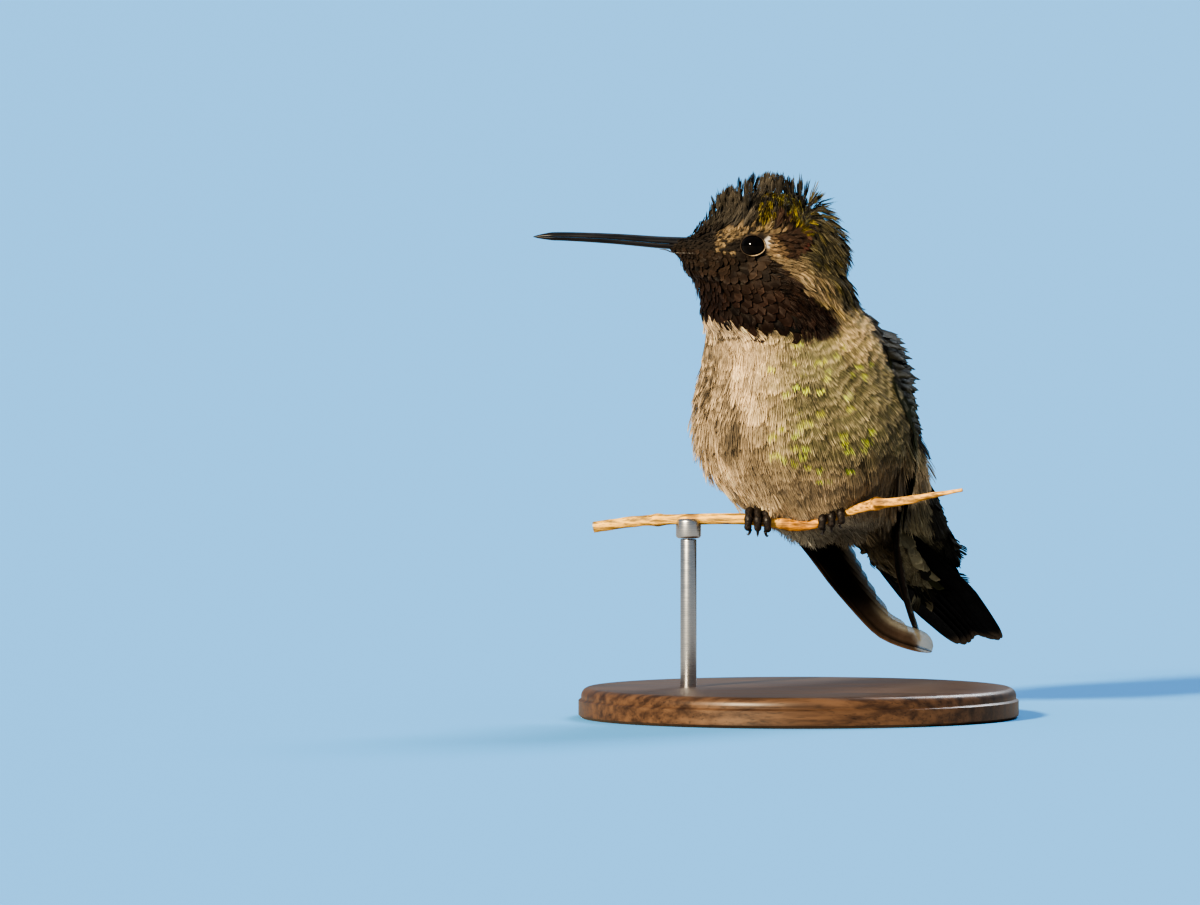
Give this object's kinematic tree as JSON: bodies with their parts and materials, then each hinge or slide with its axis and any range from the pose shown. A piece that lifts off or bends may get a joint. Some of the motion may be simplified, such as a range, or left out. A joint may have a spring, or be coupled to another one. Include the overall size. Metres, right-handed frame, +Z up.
{
  "type": "hummingbird model",
  "caption": "Life-size still model of a perched male hummingbird, fluffed up on a cut length of twig, on a round base with one short rod.",
  "frame": {"origin": "centre of the round base's underside, on the surface the model stands on", "axes": "+Z up, -X the way the bill points, -Y the side the breast is turned to"},
  "size_m": [0.064, 0.0699, 0.0717],
  "materials": {
    "crown_plumage": "dark brown, matt, ruffled narrow feathers",
    "gorget_plumage": "dark brown scales with a wine red sheen",
    "nape_plumage": "dark olive brown with a yellow green sheen",
    "breast_plumage": "pale grey brown, soft and matt, with olive flanks",
    "back_plumage": "bronze green with dark feather centres",
    "tail_coverts": "grey brown with pale fringes",
    "flight_feathers": "blackish brown, thin and slightly glossy vanes",
    "tail_feathers": "near black, slightly glossy vanes",
    "bill_horn": "black horn, satin",
    "eye_gloss": "very dark brown, wet gloss",
    "foot_skin": "blackish brown scaled skin",
    "claw_horn": "black horn, satin",
    "twig_wood": "dry tan bark, lightly frayed",
    "stand_metal": "satin grey steel",
    "stand_wood": "dark turned wood, satin varnish"
  },
  "bodies": {
    "root": {"head_crown": "crown_plumage", "head_face": "crown_plumage", "head_nape": "nape_plumage", "gorget": "gorget_plumage", "neck": "nape_plumage", "breast": "breast_plumage", "belly": "breast_plumage", "back": "back_plumage", "rump": "back_plumage", "undertail_coverts": "tail_coverts", "bill_upper": "bill_horn", "bill_lower": "bill_horn", "eye_left": "eye_gloss", "eye_right": "eye_gloss", "wing_left_coverts": "back_plumage", "wing_left_primaries": "flight_feathers", "wing_left_secondaries": "flight_feathers", "wing_right_coverts": "back_plumage", "wing_right_primaries": "flight_feathers", "wing_right_secondaries": "flight_feathers", "tail_left": "tail_feathers", "tail_right": "tail_feathers", "leg_left": "foot_skin", "leg_right": "foot_skin", "toe_left_inner": "foot_skin", "toe_left_middle": "foot_skin", "toe_left_outer": "foot_skin", "toe_left_hind": "foot_skin", "toe_right_inner": "foot_skin", "toe_right_middle": "foot_skin", "toe_right_outer": "foot_skin", "toe_right_hind": "foot_skin", "claw_left_inner": "claw_horn", "claw_left_middle": "claw_horn", "claw_left_outer": "claw_horn", "claw_left_hind": "claw_horn", "claw_right_inner": "claw_horn", "claw_right_middle": "claw_horn", "claw_right_outer": "claw_horn", "claw_right_hind": "claw_horn", "perch_twig": "twig_wood", "stand_base": "stand_wood", "stand_rod": "stand_metal", "stand_saddle": "stand_metal"}
  },
  "joints": []
}
